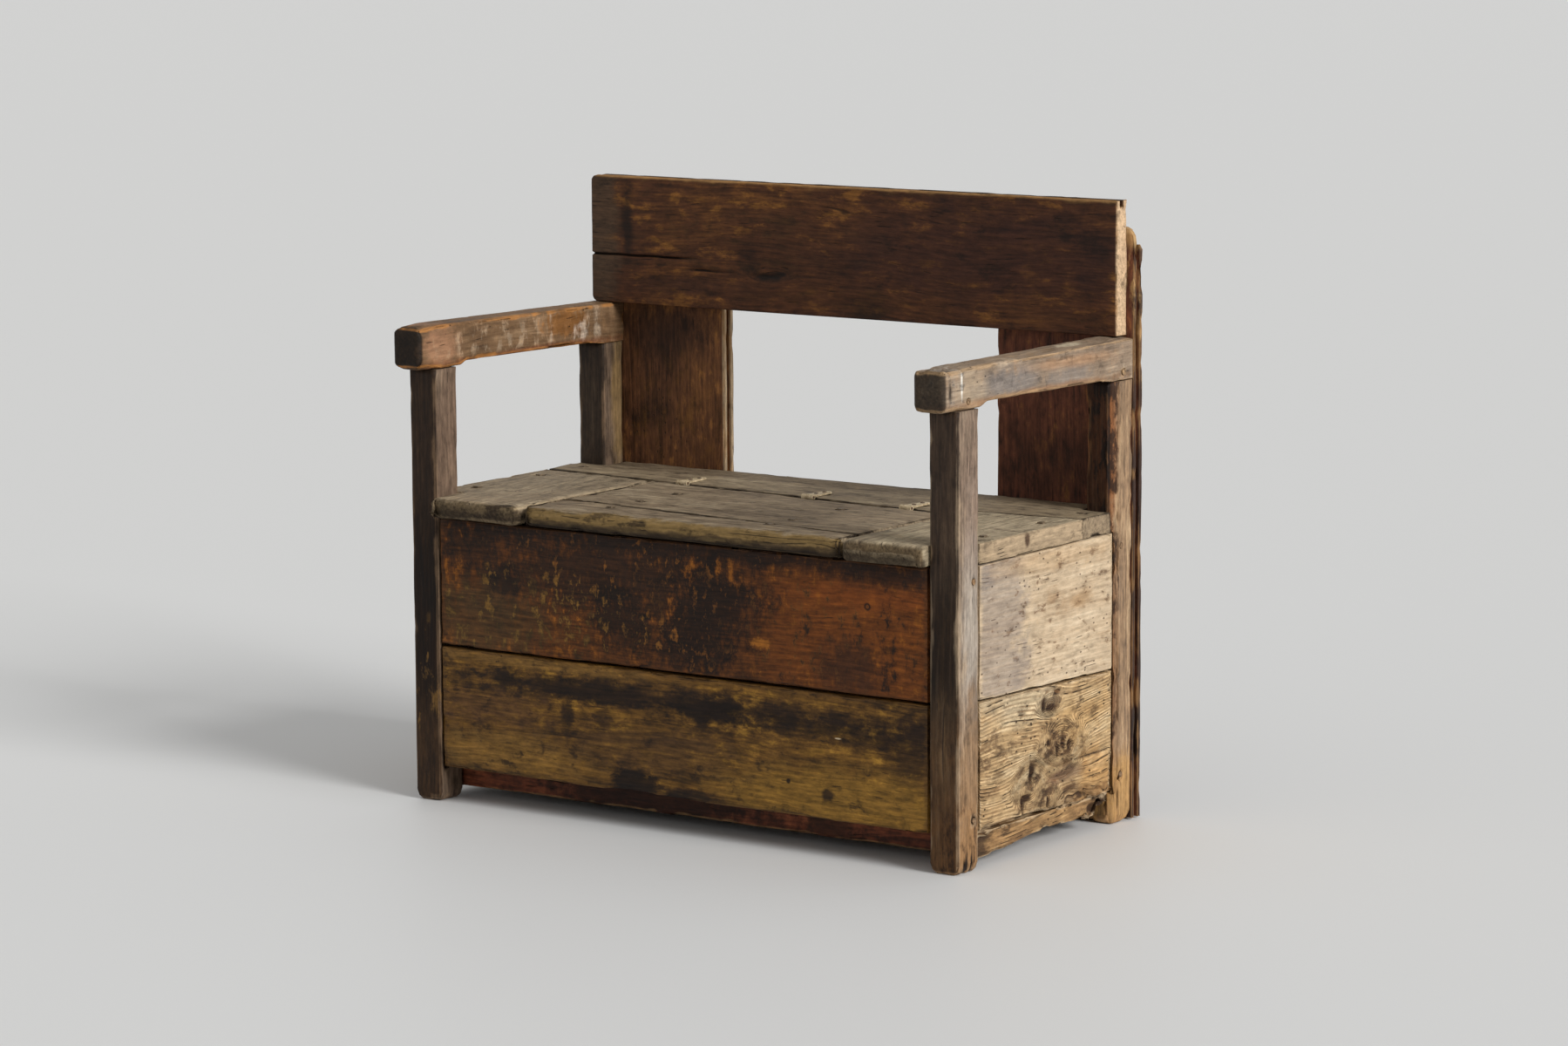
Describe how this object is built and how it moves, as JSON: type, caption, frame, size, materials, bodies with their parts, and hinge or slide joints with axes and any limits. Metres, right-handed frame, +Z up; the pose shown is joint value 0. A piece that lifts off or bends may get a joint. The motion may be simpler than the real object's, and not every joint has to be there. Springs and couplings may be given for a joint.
{
  "type": "box-seat bench",
  "caption": "Weathered wooden box-seat bench with arm rests on square posts, a planked back under a wide top board, and a hinged lid in the seat over a storage box.",
  "frame": {"origin": "on the floor, under the middle of the bench's bounding box", "axes": "+X to the bench's right as seen from the front, +Y from the front to the back, +Z up"},
  "size_m": [0.94, 0.506, 0.878],
  "materials": {
    "frame_wood": "worn, grey-brown",
    "box_wood": "stained brown",
    "bleached_wood": "bleached and worm-eaten",
    "seat_wood": "weathered grey",
    "back_wood": "dark reddish brown",
    "forged_iron": "rusted"
  },
  "bodies": {
    "frame": {"arm_pegs": "frame_wood", "back_left_plank": "back_wood", "back_left_post": "frame_wood", "back_right_plank": "back_wood", "back_right_post": "frame_wood", "back_top_board": "back_wood", "floor_board_1": "box_wood", "floor_board_2": "box_wood", "floor_board_3": "box_wood", "floor_board_4": "box_wood", "floor_board_5": "box_wood", "front_bottom_rail": "box_wood", "front_left_post": "frame_wood", "front_lower_board": "box_wood", "front_right_post": "frame_wood", "front_upper_board": "box_wood", "hinge_left_pin": "forged_iron", "hinge_left_seat_leaf": "forged_iron", "hinge_middle_pin": "forged_iron", "hinge_middle_seat_leaf": "forged_iron", "hinge_right_pin": "forged_iron", "hinge_right_seat_leaf": "forged_iron", "left_arm": "frame_wood", "left_bottom_rail": "box_wood", "left_side_lower_board": "bleached_wood", "left_side_upper_board": "bleached_wood", "left_top_rail": "box_wood", "plank_nails": "forged_iron", "rail_pegs": "box_wood", "rear_bottom_rail": "box_wood", "rear_lower_board": "box_wood", "rear_upper_board": "box_wood", "right_arm": "frame_wood", "right_bottom_rail": "box_wood", "right_side_lower_board": "bleached_wood", "right_side_upper_board": "bleached_wood", "right_top_rail": "box_wood", "seat_back_board": "seat_wood", "seat_bearer": "box_wood", "seat_hinge_nails": "forged_iron", "seat_left_end": "seat_wood", "seat_nails": "forged_iron", "seat_right_end": "seat_wood"},
    "lid": {"hinge_left_lid_leaf": "forged_iron", "hinge_middle_lid_leaf": "forged_iron", "hinge_right_lid_leaf": "forged_iron", "lid_back_board": "seat_wood", "lid_front_board": "seat_wood", "lid_hinge_nails": "forged_iron", "lid_left_batten": "box_wood", "lid_nails": "forged_iron", "lid_right_batten": "box_wood"}
  },
  "joints": [
    {"name": "lid_hinge", "type": "hinge", "parent": "frame", "child": "lid", "pos_m": [0, 0.06561, 0.447], "axis": [-0.9972, 0.0751, 0], "range_deg": [0, 110]}
  ]
}
